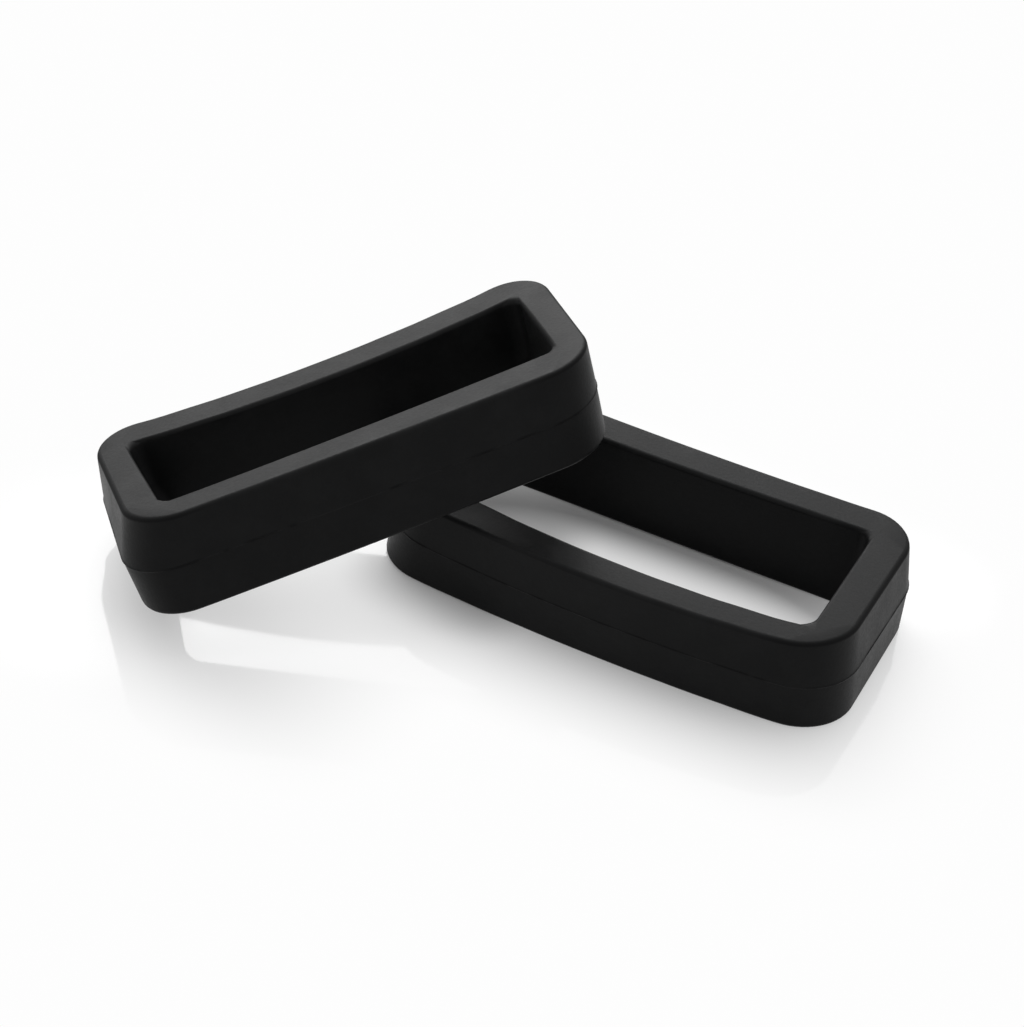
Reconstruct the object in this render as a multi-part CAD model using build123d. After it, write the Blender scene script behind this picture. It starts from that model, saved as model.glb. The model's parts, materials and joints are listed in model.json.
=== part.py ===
from build123d import *
from math import asin, cos, degrees, radians, sin
import os

# A pair of moulded rubber keepers for a watch strap: two equal loops, one lying flat and one
# leaning, with its end on the ground and its underside on the rim of the first.
# The origin is the middle of the flat keeper's slot, on the ground. X runs along that slot,
# Y across it and +Z up. Millimetres and degrees.

# Outside of one keeper, measured at the mould's parting line
keeper_length = 28.0
keeper_width = 13.3
keeper_height = 5.75
corner_radius = 3.1

# Walls and slot: the strap passes through the slot along the keeper's height
side_wall = 2.45
end_wall = 2.65
slot_corner_radius = 1.0

# What the mould leaves: drawn-in rims, rounded edges and a fine ridge where its halves meet
rim_draw_in = 0.2
rim_edge_radius = 0.15
slot_lip_radius = 0.25
ridge_proud = 0.08
ridge_width = 0.24
parting_height_share = 0.5
round_steps = 3

# Bow of the soft long walls towards -Y at mid-length, on the lower rim and on the upper rim
flat_front_bow_lower = 0.7
flat_front_bow_upper = 1.5
flat_back_bow_lower = 0.2
flat_back_bow_upper = 0.2
leaning_front_bow_lower = 0.4
leaning_front_bow_upper = 0.1
leaning_back_bow_lower = 1.3
leaning_back_bow_upper = 1.4

# How the second keeper leans: its underside slopes down along slope_azimuth from the flat
# keeper's rim to the ground, and its length lies at lean_yaw from that slope
slope_azimuth = 190.0
lean_yaw = -148.0
lean_overhang = 2.1
lean_shift = 3.5
rest_gap = 0.05

cut_overrun = 1.0
quarter_turn = 90


def bowed_outline(length, width, radius, front_bow, back_bow):
    """Rounded rectangle whose two long sides bow towards -Y by their own amounts."""
    end_x = length / 2
    side_y = width / 2
    with BuildSketch() as sketch:
        with BuildLine():
            ThreePointArc((-end_x, -side_y), (0, -side_y - front_bow), (end_x, -side_y))
            Line((end_x, -side_y), (end_x, side_y))
            ThreePointArc((end_x, side_y), (0, side_y - back_bow), (-end_x, side_y))
            Line((-end_x, side_y), (-end_x, -side_y))
        make_face()
        fillet(sketch.vertices(), radius)
    return sketch.sketch


def wall_outline(inset, front_bow, back_bow):
    """Outside of a keeper, drawn in by inset from the parting line."""
    return bowed_outline(
        keeper_length - 2 * inset,
        keeper_width - 2 * inset,
        corner_radius - inset,
        front_bow,
        back_bow,
    )


def slot_outline(spread, front_bow, back_bow):
    """Inside of a keeper, the slot for the strap, widened by spread on every side."""
    return bowed_outline(
        keeper_length - 2 * end_wall + 2 * spread,
        keeper_width - 2 * side_wall + 2 * spread,
        slot_corner_radius + spread,
        front_bow,
        back_bow,
    )


def quarter_round(radius):
    """Steps of a rounded edge as (distance in from the rim, distance cut back)."""
    steps = []
    for step in range(round_steps + 1):
        angle = radians(quarter_turn * step / round_steps)
        steps.append((radius * (1 - cos(angle)), radius * (1 - sin(angle))))
    return steps


def wall_stations():
    """Heights up the outer wall, each with how far the wall is drawn in there."""
    parting_height = keeper_height * parting_height_share
    upper_height = keeper_height - parting_height
    half_ridge = ridge_width / 2
    lower = []
    upper = []
    for distance, cut_back in quarter_round(rim_edge_radius):
        lower_draw = rim_draw_in * (1 - distance / parting_height)
        upper_draw = rim_draw_in * (1 - distance / upper_height)
        lower.append((distance, lower_draw + cut_back))
        upper.insert(0, (keeper_height - distance, upper_draw + cut_back))
    ridge = [
        (parting_height - half_ridge, rim_draw_in * half_ridge / parting_height),
        (parting_height, -ridge_proud),
        (parting_height + half_ridge, rim_draw_in * half_ridge / upper_height),
    ]
    return lower + ridge + upper


def slot_stations():
    """Heights up the slot, each with how far its rounded lips widen it there."""
    lower = []
    upper = []
    for distance, spread in quarter_round(slot_lip_radius):
        lower.append((distance, spread))
        upper.insert(0, (keeper_height - distance, spread))
    below = (-cut_overrun, slot_lip_radius)
    above = (keeper_height + cut_overrun, slot_lip_radius)
    return [below] + lower + upper + [above]


def skin(stations, outline, front_bows, back_bows):
    """Solid through level outlines, its long sides bowing from the lower to the upper rim."""
    sections = []
    for height, offset in stations:
        share = height / keeper_height
        front = front_bows[0] + (front_bows[1] - front_bows[0]) * share
        back = back_bows[0] + (back_bows[1] - back_bows[0]) * share
        sections.append(Pos(0, 0, height) * outline(offset, front, back))
    return loft(sections, ruled=True)


def keeper(front_bows, back_bows):
    """One moulded loop standing on z = 0 with its slot along Z."""
    wall = skin(wall_stations(), wall_outline, front_bows, back_bows)
    slot = skin(slot_stations(), slot_outline, front_bows, back_bows)
    return wall - slot


def reach(outline, azimuth):
    """How far a level outline extends from the origin in one direction."""
    return outline.rotate(Axis.Z, -azimuth).bounding_box().max.X


def leaning_place():
    """Where the second keeper lies: on the first one's rim and sloping to the ground."""
    rim = wall_outline(rim_draw_in, flat_front_bow_upper, flat_back_bow_upper)
    underside = wall_outline(rim_draw_in, leaning_front_bow_lower, leaning_back_bow_lower)
    rest_height = keeper_height + rest_gap
    foot_reach = lean_overhang + reach(underside, -lean_yaw)
    tilt = asin(rest_height / foot_reach)
    out = reach(rim, slope_azimuth) + lean_overhang * cos(tilt)
    height = rest_height - lean_overhang * sin(tilt)
    slope = Rot(Z=slope_azimuth)
    return slope * Pos(out, lean_shift, height) * Rot(Y=degrees(tilt)) * Rot(Z=lean_yaw)


flat_keeper = keeper(
    (flat_front_bow_lower, flat_front_bow_upper),
    (flat_back_bow_lower, flat_back_bow_upper),
)
leaning_keeper = leaning_place() * keeper(
    (leaning_front_bow_lower, leaning_front_bow_upper),
    (leaning_back_bow_lower, leaning_back_bow_upper),
)
# The rounded edge of its foot is set down on the ground
leaning_keeper = Pos(0, 0, -leaning_keeper.bounding_box().min.Z) * leaning_keeper

os.makedirs("parts", exist_ok=True)
export_step(flat_keeper, "parts/flat_keeper.step")
export_step(leaning_keeper, "parts/leaning_keeper.step")
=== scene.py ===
import json
from math import acos, atan2, cos, radians, sin

import bmesh
import bpy
from bpy.props import FloatProperty, FloatVectorProperty, IntProperty, PointerProperty
from mathutils import Matrix, Vector


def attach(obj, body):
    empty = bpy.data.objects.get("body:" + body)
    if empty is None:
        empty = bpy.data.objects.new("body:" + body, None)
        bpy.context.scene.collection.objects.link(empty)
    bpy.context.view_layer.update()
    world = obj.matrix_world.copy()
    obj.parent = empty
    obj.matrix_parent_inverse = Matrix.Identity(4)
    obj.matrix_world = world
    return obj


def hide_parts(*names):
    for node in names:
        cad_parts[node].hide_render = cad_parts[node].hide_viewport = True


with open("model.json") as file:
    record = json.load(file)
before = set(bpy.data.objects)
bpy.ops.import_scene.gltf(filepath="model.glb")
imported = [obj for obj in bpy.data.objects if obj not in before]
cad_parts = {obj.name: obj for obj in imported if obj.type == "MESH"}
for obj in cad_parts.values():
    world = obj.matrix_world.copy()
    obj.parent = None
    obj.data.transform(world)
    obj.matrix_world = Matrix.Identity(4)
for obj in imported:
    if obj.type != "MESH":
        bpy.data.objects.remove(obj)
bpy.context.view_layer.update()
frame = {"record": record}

bl_info = {
    "name": "Strap keeper pair",
    "version": (1, 0, 0),
    "blender": (4, 5, 0),
    "location": "View3D > Sidebar > Keepers",
    "description": "Two moulded rubber loops for a watch strap, one flat and one leaning on it",
    "category": "Add Mesh",
}

MM = 0.001
TOUCH = 0.01 * MM  # points closer than this count as one place
MERGE = TOUCH / 10  # and points closer than this are merged


# Settings

def length(name, description, default):
    """A size that is given in millimetres and kept in metres."""
    return FloatProperty(
        name=name, description=description, default=default * MM, unit="LENGTH", precision=5
    )


def amount(name, description, default):
    """A plain number between none and all."""
    return FloatProperty(name=name, description=description, default=default, min=0.0, max=1.0)


def count(name, description, default, least):
    """A whole number of facets."""
    return IntProperty(name=name, description=description, default=default, min=least)


def turn(name, description, default):
    """An angle, given in degrees."""
    return FloatProperty(
        name=name, description=description, default=radians(default), unit="ROTATION"
    )


def power(name, description, default):
    """A light's power in watts."""
    return FloatProperty(name=name, description=description, default=default, min=0.0)


def shade(name, description, default):
    """A scene-linear colour."""
    return FloatVectorProperty(
        name=name, description=description, default=default, size=3, subtype="COLOR",
        min=0.0, max=1.0
    )


def corners(name, description, default):
    """A length for each corner: front left, front right, back right, back left."""
    sizes = [size * MM for size in default]
    return FloatVectorProperty(
        name=name, description=description, default=sizes, size=4, unit="LENGTH", precision=5
    )


class KeeperMould(bpy.types.PropertyGroup):
    """Sizes that the mould gives both keepers."""

    loop_length: length("Length", "Outside length at the parting line", 28.0)
    loop_width: length("Width", "Outside width at the parting line", 13.3)
    loop_height: length("Height", "Height of the walls", 5.75)
    corner_radius: length("Corner radius", "Outside corner radius", 3.1)
    side_wall: length("Side wall", "Thickness of the long walls", 2.45)
    end_wall: length("End wall", "Thickness of the end walls", 2.65)
    slot_radius: length("Slot radius", "Corner radius of the slot", 1.0)
    draw_in: length("Draw-in", "How far the rims lie inside the parting line", 0.1)
    rim_radius: length("Rim edge", "Radius of the outer rim edges", 0.27)
    lip_radius: length("Slot lip", "Radius of the slot's edges", 0.3)
    ridge_proud: length("Ridge", "How far the parting ridge stands out", 0.05)
    ridge_width: length("Ridge width", "Width of the parting ridge", 0.2)
    corner_steps: count("Corner steps", "Facets round an outside corner", 14, 3)
    slot_steps: count("Slot steps", "Facets round a slot corner", 10, 2)
    edge_steps: count("Edge steps", "Facets round a rim edge", 4, 1)
    wall_steps: count("Wall steps", "Facets along a long wall", 28, 4)
    end_steps: count("End steps", "Facets along an end wall", 8, 2)


class FlatShape(bpy.types.PropertyGroup):
    """How the soft loop that lies flat differs from its mould."""

    front_lower: length("Front bow, lower rim", "Front wall's bow to -Y, lower rim", 0.74)
    front_upper: length("Front bow, upper rim", "Front wall's bow to -Y, upper rim", 1.27)
    back_lower: length("Back bow, lower rim", "Back wall's bow to -Y, lower rim", 0.05)
    back_upper: length("Back bow, upper rim", "Back wall's bow to -Y, upper rim", 0.4)
    upper_x: corners("Upper corners, X", "Upper rim's corners, X", (0, -0.5, -0.46, 0))
    middle_x: corners("Middle corners, X", "Parting line's corners, X", (-0.5, -0.19, -0.15, 0))
    lower_x: corners("Lower corners, X", "Lower rim's corners, X", (-1.15, 0.14, -0.08, 0))
    upper_y: corners("Upper corners, Y", "Upper rim's corners, Y", (0, 0.19, 0.16, 0))
    middle_y: corners("Middle corners, Y", "Parting line's corners, Y", (0, 0.03, 0.14, 0))
    lower_y: corners("Lower corners, Y", "Lower rim's corners, Y", (-0.1, -0.16, 0.07, 0))
    slot_x: corners("Slot corners, X", "Slot's upper corners, X", (0, 0.31, 0.27, 0))
    slot_y: corners("Slot corners, Y", "Slot's upper corners, Y", (0, -0.5, 0.17, 0))


class LeaningShape(bpy.types.PropertyGroup):
    """How the soft loop that leans differs from its mould, in its own directions."""

    front_lower: length("Front bow, lower rim", "Front wall's bow to -Y, lower rim", 0.2)
    front_upper: length("Front bow, upper rim", "Front wall's bow to -Y, upper rim", 0.19)
    back_lower: length("Back bow, lower rim", "Back wall's bow to -Y, lower rim", 1.3)
    back_upper: length("Back bow, upper rim", "Back wall's bow to -Y, upper rim", 1.54)
    upper_x: corners("Upper corners, X", "Upper rim's corners, X", (1.35, 0.22, -0.4, 0.1))
    middle_x: corners("Middle corners, X", "Parting line's corners, X", (0.25, -0.3, 0, -0.3))
    lower_x: corners("Lower corners, X", "Lower rim's corners, X", (0.17, -0.4, -0.4, 0.09))
    upper_y: corners("Upper corners, Y", "Upper rim's corners, Y", (0.25, 0.06, 0.06, -0.1))
    middle_y: corners("Middle corners, Y", "Parting line's corners, Y", (0.1, -0.05, 0.03, 0.02))
    lower_y: corners("Lower corners, Y", "Lower rim's corners, Y", (-0.22, -0.08, 0, 0.03))
    slot_x: corners("Slot corners, X", "Slot's upper corners, X", (-0.42, 0.7, 0.65, -0.76))
    slot_y: corners("Slot corners, Y", "Slot's upper corners, Y", (-0.35, 0.2, -0.1, -0.09))
    yaw: turn("Yaw", "Direction of its length, from the slope that it lies on", -148.0)


class RubberFinish(bpy.types.PropertyGroup):
    """Colour and surface of the moulded rubber."""

    body_colour: shade("Rubber", "Colour of the rubber", (0.0082, 0.0084, 0.0086))
    pale_colour: shade("Bloom", "Colour of the paler patches", (0.0136, 0.0138, 0.0141))
    # Colour of the painted shade along the rims' outer edges and the parting line
    painted_shade_colour: shade("Edge", "Colour of rim edges and parting line", (0.003, 0.003, 0.0032))
    roughness: amount("Roughness", "Roughness of the moulded skin", 0.42)
    edge_roughness: amount("Edge roughness", "Roughness of rim edges and parting line", 0.8)
    grain: length("Grain", "Width of the moulded grain", 0.16)
    patch: length("Patch", "Width of the paler patches", 2.4)
    # The painted shade along the parting line is broken into stretches about this long
    breaks: length("Breaks", "Length of the parting line's darker stretches", 1.6)


class StudioView(bpy.types.PropertyGroup):
    """Camera and light."""

    azimuth: turn("Azimuth", "Camera's turn round the vertical", 24.078)
    elevation: turn("Elevation", "Camera's height above the floor", 38.378)
    roll: turn("Roll", "Camera's turn about its own axis", 5.404)
    distance: length("Distance", "From the camera to the point it looks at", 155.557)
    look_x: length("Look at X", "Point on the floor that the camera looks at", -9.73)
    look_y: length("Look at Y", "Point on the floor that the camera looks at", 1.573)
    lens: FloatProperty(
        name="Lens", description="Focal length in mm for a 36 mm high picture", default=92.29
    )
    top_power: power("Overhead light", "Power of the overhead light in watts", 3.2)
    back_power: power("Back light", "Power of the back light in watts", 3.7)
    floor_colour: shade("Floor", "Colour of the floor", (0.93, 0.93, 0.93))


# Modelling

WALL_SLOPE = 0.5  # a wall's normal has less Z than this, and a rim's has more
LIP_MARGIN = 1.5  # how far round the slot its cage takes hold, in lip radii
SLOT_CAGE = (2, 2, 2)  # points along X, Y and Z
WALL_CAGE = (9, 4, 3)
SMOOTH_ANGLE = radians(32)  # edges that turn more than this stay sharp
RIM_WEIGHT = 100  # how far the large faces keep their own direction in the shading
EDGE_SHADE_ALONG = 0.05  # how dark the painted shade on the rims' outer edges is along the walls
EDGE_SHADE_ENDS = 0.7  # how much painted shade is added round the ends


def only(obj):
    """Makes one object the only one selected, and active."""
    bpy.ops.object.select_all(action="DESELECT")
    obj.select_set(True)
    bpy.context.view_layer.objects.active = obj


def edit(obj, kind):
    """Enters edit mode with nothing selected."""
    only(obj)
    bpy.ops.object.mode_set(mode="EDIT")
    bpy.ops.mesh.select_mode(type=kind)
    bpy.ops.mesh.select_all(action="DESELECT")


def pick(obj, kind, test):
    """Selects the vertices, edges or faces that pass the test."""
    bpy.ops.mesh.select_mode(type=kind)
    bpy.ops.mesh.select_all(action="DESELECT")
    mesh = bmesh.from_edit_mesh(obj.data)
    parts = {"VERT": mesh.verts, "EDGE": mesh.edges, "FACE": mesh.faces}[kind]
    chosen = [part for part in parts if test(part)]
    if not chosen:
        raise RuntimeError("nothing to select on " + obj.name)
    for part in chosen:
        part.select_set(True)
    mesh.select_flush_mode()
    bmesh.update_edit_mesh(obj.data)


def middle(edge):
    """Middle of an edge."""
    return (edge.verts[0].co + edge.verts[1].co) / 2


def upright(edge):
    """True for an edge that runs straight up."""
    run = edge.verts[1].co - edge.verts[0].co
    return abs(run.x) < TOUCH and abs(run.y) < TOUCH


def level_at(edge, height):
    """True for an edge that lies at one height."""
    return all(abs(vert.co.z - height) < TOUCH for vert in edge.verts)


def slot_half(mould):
    """Half the slot's length and half its width."""
    return mould.loop_length / 2 - mould.end_wall, mould.loop_width / 2 - mould.side_wall


def in_slot_corner(point, mould):
    """True at a sharp corner of the slot."""
    slot_x, slot_y = slot_half(mould)
    return abs(abs(point.x) - slot_x) < TOUCH and abs(abs(point.y) - slot_y) < TOUCH


def on_outside(point, mould):
    """True outside the slot and its own walls."""
    slot_x, slot_y = slot_half(mould)
    return abs(point.x) > slot_x + TOUCH or abs(point.y) > slot_y + TOUCH


def on_outer_wall(vert, mould, height):
    """True for a vertex of the outer wall at one height."""
    steep = any(abs(face.normal.z) < WALL_SLOPE for face in vert.link_faces)
    return steep and on_outside(vert.co, mould) and abs(vert.co.z - height) < TOUCH


def on_rim_edge(edge, mould, outside):
    """True for an edge where a rim turns down into the outer wall or into the slot."""
    at_rim = level_at(edge, 0.0) or level_at(edge, mould.loop_height)
    turns = sorted(abs(face.normal.z) for face in edge.link_faces)
    sharp = len(turns) == 2 and turns[0] < WALL_SLOPE < turns[1]
    return at_rim and sharp and on_outside(middle(edge), mould) == outside


def cut_across(obj, axis, places):
    """Cuts the whole mesh by planes across one axis."""
    normal = [0.0, 0.0, 0.0]
    normal[axis] = 1.0
    for place in places:
        point = [0.0, 0.0, 0.0]
        point[axis] = place
        bpy.ops.mesh.select_mode(type="FACE")
        bpy.ops.mesh.select_all(action="SELECT")
        bpy.ops.mesh.bisect(plane_co=point, plane_no=normal)


def evenly(low, high, steps):
    """Places between two ends, without the ends."""
    return [low + (high - low) * step / steps for step in range(1, steps)]


def slotted_block(name, mould):
    """A block of the keeper's outside size with the slot through it."""
    bpy.ops.object.select_all(action="DESELECT")
    bpy.ops.mesh.primitive_cube_add(size=1, location=(0, 0, mould.loop_height / 2))
    obj = bpy.context.object
    obj.name = name
    obj.data.name = name
    obj.scale = (mould.loop_length, mould.loop_width, mould.loop_height)
    only(obj)
    bpy.ops.object.transform_apply(location=True, rotation=True, scale=True)
    edit(obj, "FACE")
    pick(obj, "FACE", lambda face: abs(face.normal.z) > WALL_SLOPE)
    bpy.ops.mesh.inset(thickness=mould.side_wall, use_even_offset=True)
    stretch = (mould.loop_length / 2 - mould.end_wall) / (mould.loop_length / 2 - mould.side_wall)
    bpy.ops.transform.resize(
        value=(stretch, 1, 1), center_override=(0, 0, mould.loop_height / 2)
    )
    bpy.ops.mesh.bridge_edge_loops()
    return obj


def round_corners(obj, mould):
    """Rounds the upright corners of the outside and of the slot."""
    inner_x = mould.loop_length / 2 - mould.end_wall + TOUCH
    pick(obj, "EDGE", lambda edge: upright(edge) and abs(middle(edge).x) > inner_x)
    bpy.ops.mesh.bevel(
        offset=mould.corner_radius, segments=mould.corner_steps, affect="EDGES"
    )
    pick(obj, "EDGE", lambda edge: upright(edge) and in_slot_corner(middle(edge), mould))
    bpy.ops.mesh.bevel(offset=mould.slot_radius, segments=mould.slot_steps, affect="EDGES")


def part_the_mould(obj, mould):
    """Cuts the walls into bands, raises the parting ridge and draws the rims in."""
    parting = mould.loop_height / 2
    half = mould.ridge_width / 2
    reach_x = mould.loop_length / 2 - mould.corner_radius
    reach_y = mould.loop_width / 2 - mould.corner_radius
    cut_across(obj, 2, [parting - half, parting, parting + half])
    cut_across(obj, 0, evenly(-reach_x, reach_x, mould.wall_steps))
    cut_across(obj, 1, evenly(-reach_y, reach_y, mould.end_steps))
    pick(obj, "VERT", lambda vert: on_outer_wall(vert, mould, parting))
    bpy.ops.transform.shrink_fatten(value=mould.ridge_proud)
    along = 1 - 2 * mould.draw_in / mould.loop_length
    across = 1 - 2 * mould.draw_in / mould.loop_width
    for height in (0.0, mould.loop_height):
        pick(obj, "VERT", lambda vert: on_outer_wall(vert, mould, height))
        bpy.ops.transform.resize(value=(along, across, 1), center_override=(0, 0, height))


def round_rims(obj, mould):
    """Rounds the edges of both rims, outside and in the slot."""
    for outside, radius in ((True, mould.rim_radius), (False, mould.lip_radius)):
        pick(obj, "EDGE", lambda edge: on_rim_edge(edge, mould, outside))
        bpy.ops.mesh.bevel(offset=radius, segments=mould.edge_steps, affect="EDGES")


def corner_mix(values, along, across):
    """A value at a place between the four corners, by its shares of the length and width."""
    front = values[0] * (1 - along) + values[1] * along
    back = values[3] * (1 - along) + values[2] * along
    return front * (1 - across) + back * across


def cage(name, size, counts):
    """A lattice that spans a box standing on the floor. Its points' own coordinates run from
    -0.5 to 0.5, and it bends smoothly only along X, where it has more than two points."""
    bpy.ops.object.select_all(action="DESELECT")
    bpy.ops.object.add(type="LATTICE", location=(0, 0, size[2] / 2))
    box = bpy.context.object
    box.name = name
    box.scale = size
    box.data.points_u, box.data.points_v, box.data.points_w = counts
    box.data.interpolation_type_u = "KEY_CARDINAL" if counts[0] > 2 else "KEY_LINEAR"
    box.data.interpolation_type_v = "KEY_LINEAR"
    box.data.interpolation_type_w = "KEY_LINEAR"
    return box


def apply_cage(obj, box, group=""):
    """Bends a piece, or one vertex group of it, with a lattice and removes the lattice."""
    only(obj)
    bend = obj.modifiers.new(box.name, "LATTICE")
    bend.object = box
    bend.vertex_group = group
    bpy.ops.object.modifier_apply(modifier=bend.name)
    only(box)
    bpy.ops.object.delete()


def shift_slot(obj, mould, shape):
    """Moves the slot's upper corners, and with them its walls, its lips and the rim beside them."""
    slot = (
        mould.loop_length - 2 * mould.end_wall,
        mould.loop_width - 2 * mould.side_wall,
        mould.loop_height,
    )
    edge = LIP_MARGIN * mould.lip_radius
    walls = obj.vertex_groups.new(name="slot")
    inside = [
        vert.index for vert in obj.data.vertices
        if abs(vert.co.x) < slot[0] / 2 + edge and abs(vert.co.y) < slot[1] / 2 + edge
    ]
    walls.add(inside, 1.0, "REPLACE")
    box = cage("Slot", slot, SLOT_CAGE)
    for point in box.data.points:
        share = point.co.z + 0.5
        place = (point.co.x + 0.5, point.co.y + 0.5)
        point.co_deform.x = point.co.x + share * corner_mix(shape.slot_x, *place) / slot[0]
        point.co_deform.y = point.co.y + share * corner_mix(shape.slot_y, *place) / slot[1]
    apply_cage(obj, box, walls.name)


def shape_walls(obj, mould, shape):
    """Bows the long walls and moves the corners at three heights."""
    size = (mould.loop_length, mould.loop_width, mould.loop_height)
    box = cage("Walls", size, WALL_CAGE)
    levels = {
        -1: (shape.lower_x, shape.lower_y),
        0: (shape.middle_x, shape.middle_y),
        1: (shape.upper_x, shape.upper_y),
    }
    for point in box.data.points:
        # From -1 at the lower rim to 1 at the upper one
        along, across = levels[round(2 * point.co.z)]
        place = (point.co.x + 0.5, point.co.y + 0.5)
        if point.co.y < 0:
            lower, upper = shape.front_lower, shape.front_upper
        else:
            lower, upper = shape.back_lower, shape.back_upper
        sag = lower + (upper - lower) * (point.co.z + 0.5)
        lean = corner_mix(across, *place) - sag * (1 - (2 * point.co.x) ** 2)
        point.co_deform.x = point.co.x + corner_mix(along, *place) / size[0]
        point.co_deform.y = point.co.y + lean / size[1]
    apply_cage(obj, box)


def note_places(obj, mould):
    """Keeps, for the finish, each point's height from the parting line and its painted shade as a
    point of a rim's outer edge. The painted shade is darkest half-way down and round the ends."""
    half = mould.loop_height / 2
    straight = mould.loop_length / 2 - 2 * mould.corner_radius
    heights = obj.data.attributes.new("from_parting", "FLOAT", "POINT")
    edges = obj.data.attributes.new("rim_edge", "FLOAT", "POINT")
    for vert in obj.data.vertices:
        height = vert.co.z - half
        outside = on_outside(vert.co, mould)
        drop = min(1.0, (half - height) / mould.rim_radius)
        end = min(1.0, max(0.0, (abs(vert.co.x) - straight) / mould.corner_radius))
        half_way = 4 * drop * (1 - drop)
        # Painted shade: a dark line along the upper rim's outer edge, heaviest round the ends
        dark = half_way * (EDGE_SHADE_ALONG + EDGE_SHADE_ENDS * end)
        heights.data[vert.index].value = height / half if outside else 1.0
        edges.data[vert.index].value = dark if outside else 0.0


def moulded_loop(name, mould, shape):
    """One keeper, lying flat with the middle of its slot at the origin."""
    obj = slotted_block(name, mould)
    round_corners(obj, mould)
    part_the_mould(obj, mould)
    round_rims(obj, mould)
    bpy.ops.object.mode_set(mode="OBJECT")
    note_places(obj, mould)
    shift_slot(obj, mould, shape)
    shape_walls(obj, mould, shape)
    edit(obj, "FACE")
    bpy.ops.mesh.select_all(action="SELECT")
    bpy.ops.mesh.remove_doubles(threshold=MERGE)
    bpy.ops.mesh.normals_make_consistent(inside=False)
    bpy.ops.object.mode_set(mode="OBJECT")
    only(obj)
    bpy.ops.object.shade_smooth_by_angle(angle=SMOOTH_ANGLE)
    flat = obj.modifiers.new("Flat rims", "WEIGHTED_NORMAL")
    flat.keep_sharp = True
    flat.weight = RIM_WEIGHT
    bpy.ops.object.modifier_apply(modifier=flat.name)
    return obj


# Nodes

COLOUR_A, COLOUR_B, COLOUR_RESULT = 6, 7, 2  # the mix node's own sockets for colours
COLUMN = 200  # from one column of nodes to the next


def node(tree, kind, place, **values):
    """Adds a node and sets its named inputs and settings."""
    made = tree.nodes.new(kind)
    made.location = place
    for key, value in values.items():
        if key in made.inputs:
            made.inputs[key].default_value = value
        else:
            setattr(made, key, value)
    return made


def maths(tree, place, operation, *sources):
    """The result of a sum on one or two values from other nodes."""
    made = node(tree, "ShaderNodeMath", place, operation=operation)
    for source, socket in zip(sources, made.inputs):
        tree.links.new(source, socket)
    return made.outputs["Value"]


def span(tree, place, source, given, wanted):
    """Maps one range of a value to another, smoothly and within its ends."""
    made = node(tree, "ShaderNodeMapRange", place, interpolation_type="SMOOTHSTEP")
    made.inputs["From Min"].default_value, made.inputs["From Max"].default_value = given
    made.inputs["To Min"].default_value, made.inputs["To Max"].default_value = wanted
    tree.links.new(source, made.inputs["Value"])
    return made.outputs["Result"]


def blend(tree, place, factor, first, second):
    """Mixes two colours, each one given or from a node."""
    made = node(tree, "ShaderNodeMix", place, data_type="RGBA")
    tree.links.new(factor, made.inputs["Factor"])
    for socket, colour in ((made.inputs[COLOUR_A], first), (made.inputs[COLOUR_B], second)):
        if isinstance(colour, bpy.types.NodeSocket):
            tree.links.new(colour, socket)
        else:
            socket.default_value = (*colour, 1)
    return made.outputs[COLOUR_RESULT]


def either_shader(tree, place, factor, first, second):
    """Mixes the results of two shaders."""
    made = node(tree, "ShaderNodeMixShader", place)
    for source, socket in zip((factor, first.outputs[0], second.outputs[0]), made.inputs):
        tree.links.new(source, socket)
    return made


def noise(tree, place, coordinate, width, detail, roughness):
    """Noise whose spots are about as wide as given."""
    made = node(
        tree, "ShaderNodeTexNoise", place, Scale=1 / width, Detail=detail, Roughness=roughness
    )
    tree.links.new(coordinate, made.inputs["Vector"])
    return made.outputs["Fac"]


# Rubber

RUBBER_IOR = 1.18
BLOOM = (0.35, 0.7)  # noise where the paler patches begin and are full
SEAM = (0.012, 0.04)  # where the painted shade along the parting line fades, in shares of half the height
SEAM_BREAKS = (0.4, 0.65)  # noise where the parting line's painted shade is faintest and darkest
SEAM_SHADE = 0.65  # the most that the parting line takes of the painted shade colour
GRAIN_ROUGHNESS = (-0.06, 0.08)  # what the grain changes in the roughness
SMEAR = (0.3, 0.7)  # noise where the patches are smoothest and roughest
SMEAR_ROUGHNESS = (-0.03, 0.05)  # what the patches change in the roughness
GRAIN_BUMP = {"Strength": 0.5, "Distance": 0.012 * MM}
PORE_BUMP = {"Strength": 0.25, "Distance": 0.01 * MM}
PORE_SCALE = 0.6  # how many pores there are to a grain


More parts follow.
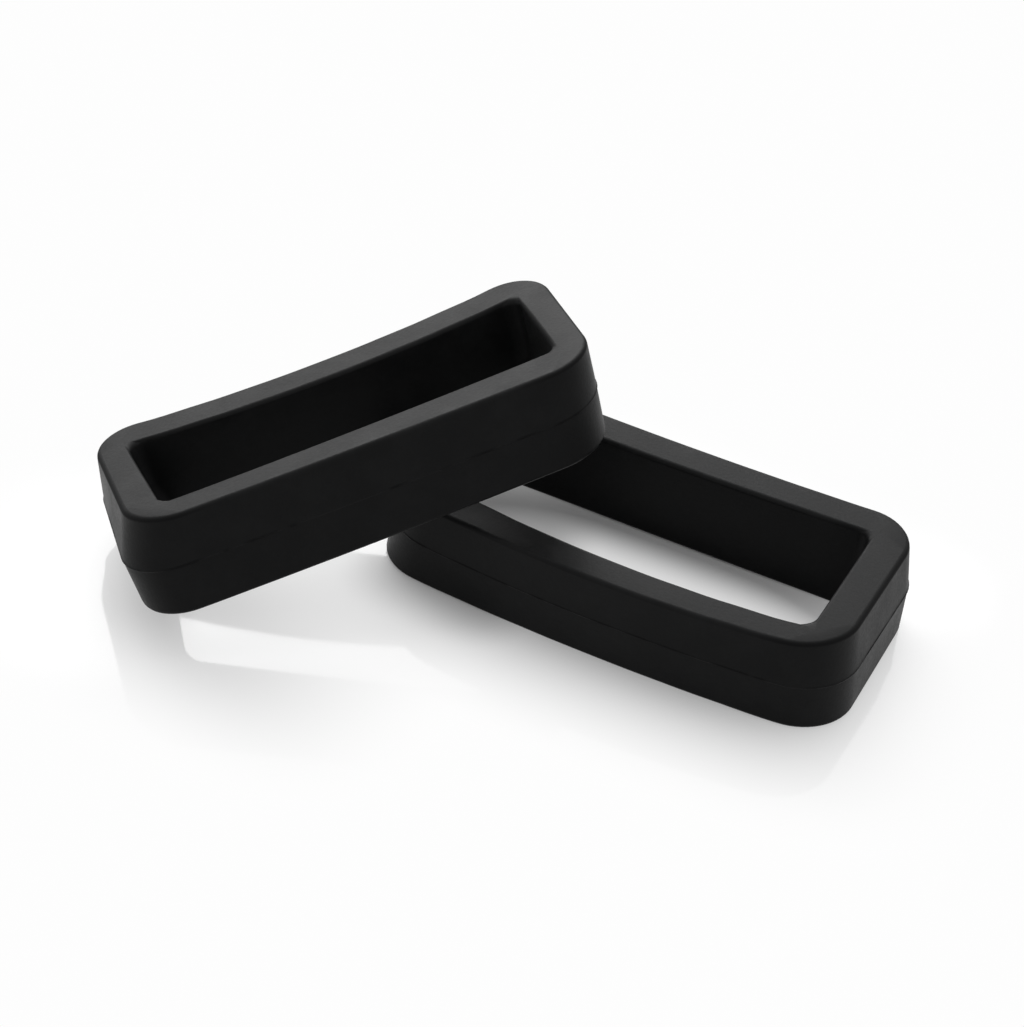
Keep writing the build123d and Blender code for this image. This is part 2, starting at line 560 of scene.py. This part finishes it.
def rubber_material(finish):
    """Matt black moulded rubber with fine grain and soft paler patches, and a rougher parting
    line and rim edges that carry painted shade.
    """
    found = bpy.data.materials.get("moulded_rubber")
    if found:
        return found
    material = bpy.data.materials.new("moulded_rubber")
    material.use_nodes = True
    tree = material.node_tree
    link = tree.links.new
    shader = tree.nodes["Principled BSDF"]
    shader.inputs["IOR"].default_value = RUBBER_IOR
    place = node(tree, "ShaderNodeTexCoord", (-1900, 0)).outputs["Object"]
    breaks = noise(tree, (-1600, 600), place, finish.breaks, detail=2.0, roughness=0.5)
    patches = noise(tree, (-1600, 300), place, finish.patch, detail=4.0, roughness=0.6)
    grain = noise(tree, (-1600, 0), place, finish.grain, detail=3.0, roughness=0.55)
    pores = node(tree, "ShaderNodeTexVoronoi", (-1600, -300), Scale=PORE_SCALE / finish.grain)
    link(place, pores.inputs["Vector"])

    # Painted shade along the parting line and the rims' outer edges, which are also rougher
    height = node(tree, "ShaderNodeAttribute", (-1600, 1200), attribute_name="from_parting")
    edge = node(tree, "ShaderNodeAttribute", (-1600, 900), attribute_name="rim_edge")
    away = maths(tree, (-1400, 1200), "ABSOLUTE", height.outputs["Fac"])
    line = span(tree, (-1200, 1200), away, SEAM, (1, 0))
    broken = span(tree, (-1200, 600), breaks, SEAM_BREAKS, (0, SEAM_SHADE))
    seam = maths(tree, (-1000, 900), "MULTIPLY", line, broken)
    dark = maths(tree, (-800, 900), "MAXIMUM", seam, edge.outputs["Fac"])

    # Colour
    bloom = span(tree, (-1300, 300), patches, BLOOM, (0, 1))
    skin = blend(tree, (-1000, 300), bloom, finish.body_colour, finish.pale_colour)
    colour = blend(tree, (-500, 300), dark, skin, finish.painted_shade_colour)
    link(colour, shader.inputs["Base Color"])

    # Roughness
    low, high = (finish.roughness + change for change in GRAIN_ROUGHNESS)
    fine = span(tree, (-1300, 0), grain, (0, 1), (low, high))
    smear = span(tree, (-1300, -600), patches, SMEAR, SMEAR_ROUGHNESS)
    worn = node(tree, "ShaderNodeMix", (-500, 0))
    worn.inputs["B"].default_value = finish.edge_roughness
    link(dark, worn.inputs["Factor"])
    link(maths(tree, (-1000, 0), "ADD", fine, smear), worn.inputs["A"])
    link(worn.outputs["Result"], shader.inputs["Roughness"])

    # Relief
    bumps = node(tree, "ShaderNodeBump", (-500, -300), **GRAIN_BUMP)
    dimples = node(tree, "ShaderNodeBump", (-300, -300), **PORE_BUMP)
    link(grain, bumps.inputs["Height"])
    link(pores.outputs["Distance"], dimples.inputs["Height"])
    link(bumps.outputs["Normal"], dimples.inputs["Normal"])
    link(dimples.outputs["Normal"], shader.inputs["Normal"])
    return material


# Pieces

class FlatKeeper(bpy.types.Operator):
    """Model the keeper that lies flat"""

    bl_idname = "keeper.flat"
    bl_label = "Flat keeper"

    def execute(self, context):
        scene = context.scene
        loop = moulded_loop("flat_loop", scene.keeper_mould, scene.flat_shape)
        loop.data.materials.append(rubber_material(scene.rubber_finish))
        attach(loop, "flat")
        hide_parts("flat_keeper")
        return {"FINISHED"}


class LeaningKeeper(bpy.types.Operator):
    """Model the keeper that leans on the flat one"""

    bl_idname = "keeper.leaning"
    bl_label = "Leaning keeper"

    def execute(self, context):
        scene = context.scene
        shape = scene.leaning_shape
        loop = moulded_loop("leaning_loop", scene.keeper_mould, shape)
        mounts = frame["record"]["mounts"]
        slot = [mount for mount in mounts if mount["name"] == "leaning_slot"][0]
        up = Vector(slot["axis"])
        slope = Matrix.Rotation(atan2(up.y, up.x), 4, "Z")
        tilt = Matrix.Rotation(acos(up.z), 4, "Y")
        yaw = Matrix.Rotation(shape.yaw, 4, "Z")
        loop.matrix_world = Matrix.Translation(slot["pos_m"]) @ slope @ tilt @ yaw
        # The moved corners may reach below the floor, so the loop is lifted onto it.
        lowest = min((loop.matrix_world @ vert.co).z for vert in loop.data.vertices)
        loop.matrix_world = Matrix.Translation((0, 0, max(0, -lowest))) @ loop.matrix_world
        only(loop)
        bpy.ops.object.transform_apply(location=True, rotation=True, scale=True)
        loop.data.materials.append(rubber_material(scene.rubber_finish))
        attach(loop, "leaning")
        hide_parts("leaning_keeper")
        return {"FINISHED"}


# Stage

FLOOR_SIZE = 3.0  # metres
FLOOR_ROUGHNESS = 0.07
FLOOR_IOR = 1.65
FLOOR_DULL = (0.12, 0.12, 0.12, 1)  # the floor's colour for light that it passes on
FLOOR_GLOW = (0.985, 0.985, 0.985, 1)  # its colour where it is whitest

# Rounded patches of floor, in millimetres. The distance is 0 in a patch's middle and 1 on its
# edge. Between the two distances the floor's whiteness goes from the first share to the second.
# The whiteness is painted light over the lit floor: low near the keepers, so that their shadows
# show and fade out.
FLAT_PATCH = {
    "middle": (0, 0), "reach": (17.5, 12), "distance": (0.3, 1.3), "white": (0.02, 1),
}
LEANING_PATCH = {
    "middle": (-21.5, -16), "reach": (17, 11), "distance": (0, 1), "white": (0.4, 1),
}
# Painted light on the slot's floor, whitest by its open front side and fading towards the far
# wall's foot
SLOT_LIGHT_PATCH = {
    "middle": (0, -2.5), "reach": (20, 7), "distance": (0.4, 0.95), "white": (0.6, 0),
}
# Painted shade round the flat keeper's left end, in its slot and in front of it, under the leaning
# keeper
SHADE_PATCH = {
    "middle": (-10, -2.5), "reach": (6.5, 8.5), "distance": (0.5, 1), "white": (0.35, 1),
}

SKY_LIGHT = 0.4  # the white world's strength as a light
SKY_SEEN = 1.0  # and where the camera sees it

# Size, place and target of each light, in metres
OVERHEAD = ((0.8, 0.8), (-0.2, 0.4, 0.82), (0, 0, 0))
BACK = ((0.7, 0.45), (-0.45, 0.58, 0.38), (0, 0, 0.005))

PICTURE_HEIGHT = 36  # millimetres on the camera's sensor
NEAREST_SEEN = 1 * MM


def seen_directly(tree, place):
    """1 for a ray from the camera, or one mirrored or let through on its way there."""
    left, level = place
    path = node(tree, "ShaderNodeLightPath", place)
    camera, glossy, through = (
        path.outputs[name] for name in ("Is Camera Ray", "Is Glossy Ray", "Is Transmission Ray")
    )
    mirrored = maths(tree, (left + COLUMN, level), "MAXIMUM", camera, glossy)
    return maths(tree, (left + 2 * COLUMN, level), "MAXIMUM", mirrored, through)


def patch_distance(tree, place, coordinate, centre, reach):
    """0 in the middle of a rounded patch of floor, 1 on its edge, and more outside it."""
    left, level = place
    mapping = node(tree, "ShaderNodeMapping", place, vector_type="TEXTURE")
    mapping.inputs["Location"].default_value = (*(side * MM for side in centre), 0)
    mapping.inputs["Scale"].default_value = (*(side * MM for side in reach), 1)
    second, third = (left + COLUMN, level), (left + 2 * COLUMN, level)
    square = node(tree, "ShaderNodeVectorMath", second, operation="MULTIPLY")
    far = node(tree, "ShaderNodeVectorMath", third, operation="LENGTH")
    tree.links.new(coordinate, mapping.inputs["Vector"])
    tree.links.new(mapping.outputs["Vector"], square.inputs[0])
    tree.links.new(mapping.outputs["Vector"], square.inputs[1])
    tree.links.new(square.outputs["Vector"], far.inputs[0])
    return maths(tree, (left + 3 * COLUMN, level), "SQRT", far.outputs["Value"])


def patch_white(tree, level, coordinate, patch):
    """The share of painted white light that a patch gives the floor in and round it."""
    left = -1200
    distance = patch_distance(tree, (left, level), coordinate, patch["middle"], patch["reach"])
    return span(tree, (left + 4 * COLUMN, level), distance, patch["distance"], patch["white"])


def floor_material(view):
    """White floor with a faint mirror image. Painted light makes it whiter away from the keepers,
    with painted light and shade in patches near them, and it is dull for the light that it passes
    on."""
    material = bpy.data.materials.new("white_floor")
    material.use_nodes = True
    tree = material.node_tree
    shader = tree.nodes["Principled BSDF"]
    shader.inputs["Base Color"].default_value = (*view.floor_colour, 1)
    shader.inputs["Roughness"].default_value = FLOOR_ROUGHNESS
    shader.inputs["IOR"].default_value = FLOOR_IOR
    dull = node(tree, "ShaderNodeBsdfDiffuse", (0, -300), Color=FLOOR_DULL)
    glow = node(tree, "ShaderNodeEmission", (0, 300), Color=FLOOR_GLOW)
    place = node(tree, "ShaderNodeTexCoord", (-1400, 600)).outputs["Object"]
    flat = patch_white(tree, 700, place, FLAT_PATCH)
    leaning = patch_white(tree, 300, place, LEANING_PATCH)
    # Painted light in the slot, and painted shade under the leaning keeper
    slot_light = patch_white(tree, 1100, place, SLOT_LIGHT_PATCH)
    below = patch_white(tree, 1500, place, SHADE_PATCH)
    near = maths(tree, (-300, 500), "MULTIPLY", flat, leaning)
    most = maths(tree, (-200, 500), "MAXIMUM", near, slot_light)
    share = maths(tree, (0, 500), "MULTIPLY", most, below)
    white = either_shader(tree, (300, 200), share, shader, glow)
    whole = either_shader(tree, (500, 0), seen_directly(tree, (-600, 0)), dull, white)
    tree.links.new(whole.outputs[0], tree.nodes["Material Output"].inputs["Surface"])
    return material


def white_world():
    """White for the camera and for reflections, and a dim even light for the rest."""
    world = bpy.data.worlds.new("studio")
    bpy.context.scene.world = world
    world.use_nodes = True
    tree = world.node_tree
    back = tree.nodes["Background"]
    strength = node(tree, "ShaderNodeMapRange", (-200, -200))
    strength.inputs["To Min"].default_value = SKY_LIGHT
    strength.inputs["To Max"].default_value = SKY_SEEN
    tree.links.new(seen_directly(tree, (-800, -200)), strength.inputs["Value"])
    tree.links.new(strength.outputs["Result"], back.inputs["Strength"])
    back.inputs["Color"].default_value = (1, 1, 1, 1)


def soft_light(name, watts, size, place, target):
    """A soft rectangular light that faces a point."""
    bpy.ops.object.select_all(action="DESELECT")
    bpy.ops.object.light_add(type="AREA", location=place)
    lamp = bpy.context.object
    lamp.name = name
    lamp.data.energy = watts
    lamp.data.shape = "RECTANGLE"
    lamp.data.size, lamp.data.size_y = size
    lamp.rotation_euler = (Vector(target) - Vector(place)).to_track_quat("-Z", "Y").to_euler()


def studio_camera(view):
    """The camera at the photograph's angle."""
    back = Vector((
        sin(view.azimuth) * cos(view.elevation),
        -cos(view.azimuth) * cos(view.elevation),
        sin(view.elevation),
    ))
    level = Vector((cos(view.azimuth), sin(view.azimuth), 0))
    up = back.cross(level)
    right = level * cos(view.roll) + up * sin(view.roll)
    above = up * cos(view.roll) - level * sin(view.roll)
    turned = Matrix((right, above, back)).transposed().to_4x4()
    place = Vector((view.look_x, view.look_y, 0)) + back * view.distance
    bpy.ops.object.select_all(action="DESELECT")
    bpy.ops.object.camera_add(location=(0, 0, 0))
    camera = bpy.context.object
    camera.name = "studio_camera"
    camera.matrix_world = Matrix.Translation(place) @ turned
    camera.data.sensor_fit = "VERTICAL"
    camera.data.sensor_height = PICTURE_HEIGHT
    camera.data.lens = view.lens
    camera.data.clip_start = NEAREST_SEEN
    camera.data.dof.use_dof = False
    bpy.context.scene.camera = camera


class KeeperStage(bpy.types.Operator):
    """Set up the floor, the lights and the camera"""

    bl_idname = "keeper.stage"
    bl_label = "Stage"

    def execute(self, context):
        view = context.scene.studio_view
        bpy.ops.object.select_all(action="DESELECT")
        bpy.ops.mesh.primitive_plane_add(size=FLOOR_SIZE, location=(0, 0, 0))
        floor = context.object
        floor.name = "floor"
        floor.data.materials.append(floor_material(view))
        white_world()
        soft_light("overhead", view.top_power, *OVERHEAD)
        soft_light("back", view.back_power, *BACK)
        studio_camera(view)
        context.scene.view_settings.view_transform = "Standard"
        return {"FINISHED"}


class KeeperPanel(bpy.types.Panel):
    """Lists the pieces in the sidebar"""

    bl_idname = "VIEW3D_PT_keepers"
    bl_label = "Strap keepers"
    bl_space_type = "VIEW_3D"
    bl_region_type = "UI"
    bl_category = "Keepers"

    def draw(self, context):
        column = self.layout.column(align=True)
        for piece in PIECES:
            column.operator(piece.bl_idname)


PIECES = (FlatKeeper, LeaningKeeper, KeeperStage)
SETTINGS = {
    "keeper_mould": KeeperMould,
    "flat_shape": FlatShape,
    "leaning_shape": LeaningShape,
    "rubber_finish": RubberFinish,
    "studio_view": StudioView,
}


def register():
    """Adds the settings, the operators and the panel to Blender."""
    for name, group in SETTINGS.items():
        bpy.utils.register_class(group)
        setattr(bpy.types.Scene, name, PointerProperty(type=group))
    for piece in PIECES:
        bpy.utils.register_class(piece)
    bpy.utils.register_class(KeeperPanel)


def unregister():
    """Takes them out again, in the other order."""
    bpy.utils.unregister_class(KeeperPanel)
    for piece in reversed(PIECES):
        bpy.utils.unregister_class(piece)
    for name, group in SETTINGS.items():
        delattr(bpy.types.Scene, name)
        bpy.utils.unregister_class(group)


def main():
    """Makes every piece."""
    register()
    bpy.ops.keeper.flat()
    bpy.ops.keeper.leaning()
    bpy.ops.keeper.stage()


if __name__ == "__main__":
    main()
